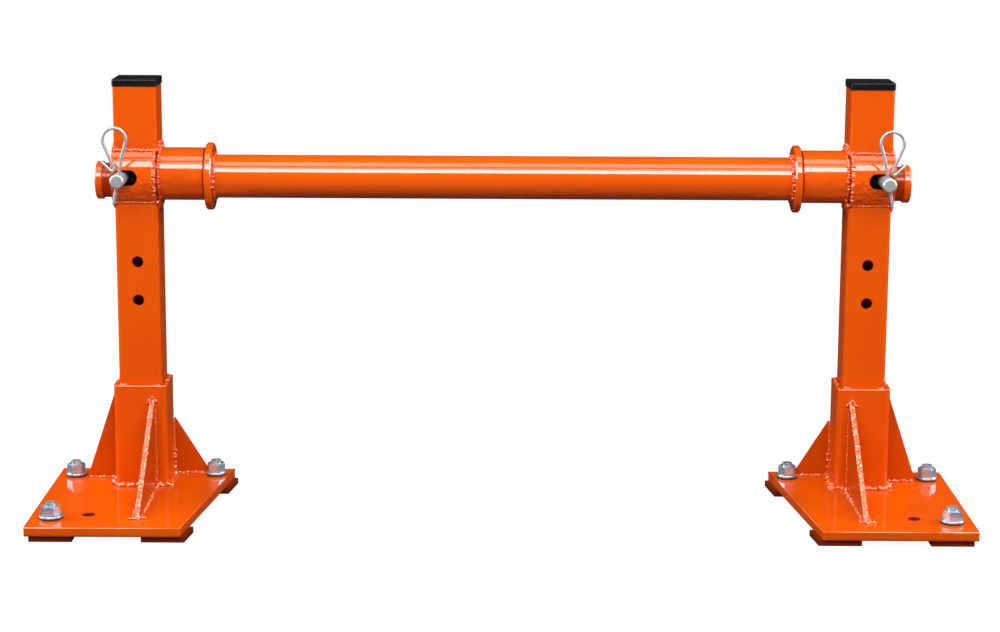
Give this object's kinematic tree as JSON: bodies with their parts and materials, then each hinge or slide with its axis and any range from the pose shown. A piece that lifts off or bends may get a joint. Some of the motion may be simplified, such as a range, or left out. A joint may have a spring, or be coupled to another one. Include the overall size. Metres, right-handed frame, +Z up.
{
  "type": "cable drum jack",
  "caption": "Low pair of orange floor stands joined by a round spindle that carries a cable drum, with cross pins and R-clips at its ends.",
  "frame": {"origin": "middle of the footprint on the floor, under the foot pads", "axes": "+X along the spindle to the right stand, +Y to the back, away from the pins' clip ends, +Z up"},
  "size_m": [1.056, 0.2444, 0.495],
  "materials": {
    "orange_paint": "gloss",
    "pad_paint": "gloss",
    "zinc_steel": "zinc plated",
    "clip_wire": "zinc plated",
    "black_plastic": "satin"
  },
  "bodies": {
    "left_stand": {"left_base_plate": "orange_paint", "left_foot_pads": "pad_paint", "left_foot_bolts": "zinc_steel", "left_washers": "zinc_steel", "left_nuts": "zinc_steel", "left_socket": "orange_paint", "left_lower_post": "orange_paint", "left_upper_post": "orange_paint", "left_collar": "orange_paint", "left_sleeve": "orange_paint", "left_front_gusset": "orange_paint", "left_outer_gusset": "orange_paint", "left_inner_gusset": "orange_paint", "left_post_cap": "black_plastic"},
    "spindle": {"spindle_tube": "orange_paint", "left_ring": "orange_paint", "left_end_plate": "orange_paint", "left_stub": "orange_paint", "left_stop_disc": "orange_paint", "right_ring": "orange_paint", "right_end_plate": "orange_paint", "right_stub": "orange_paint", "right_stop_disc": "orange_paint"},
    "right_stand": {"right_base_plate": "orange_paint", "right_foot_pads": "pad_paint", "right_foot_bolts": "zinc_steel", "right_washers": "zinc_steel", "right_nuts": "zinc_steel", "right_socket": "orange_paint", "right_lower_post": "orange_paint", "right_upper_post": "orange_paint", "right_collar": "orange_paint", "right_sleeve": "orange_paint", "right_front_gusset": "orange_paint", "right_outer_gusset": "orange_paint", "right_inner_gusset": "orange_paint", "right_post_cap": "black_plastic"},
    "left_pin": {"left_lock_pin": "zinc_steel"},
    "left_clip": {"left_r_clip": "clip_wire"},
    "right_pin": {"right_lock_pin": "zinc_steel"},
    "right_clip": {"right_r_clip": "clip_wire"}
  },
  "joints": [
    {"name": "spindle_shift", "type": "slide", "parent": "left_stand", "child": "spindle", "axis": [1, 0, 0], "range_m": [0, 0.0105]},
    {"name": "right_stand_shift", "type": "slide", "parent": "spindle", "child": "right_stand", "axis": [1, 0, 0], "range_m": [0, 0.0105]},
    {"name": "left_pin_slide", "type": "slide", "parent": "spindle", "child": "left_pin", "axis": [0, 1, 0], "range_m": [0, 0.012]},
    {"name": "left_clip_pull", "type": "slide", "parent": "left_pin", "child": "left_clip", "axis": [0.1908, 0, 0.9816], "range_m": [0, 0.045]},
    {"name": "right_pin_slide", "type": "slide", "parent": "spindle", "child": "right_pin", "axis": [0, 1, 0], "range_m": [0, 0.012]},
    {"name": "right_clip_pull", "type": "slide", "parent": "right_pin", "child": "right_clip", "axis": [-0.1908, 0, 0.9816], "range_m": [0, 0.045]}
  ]
}
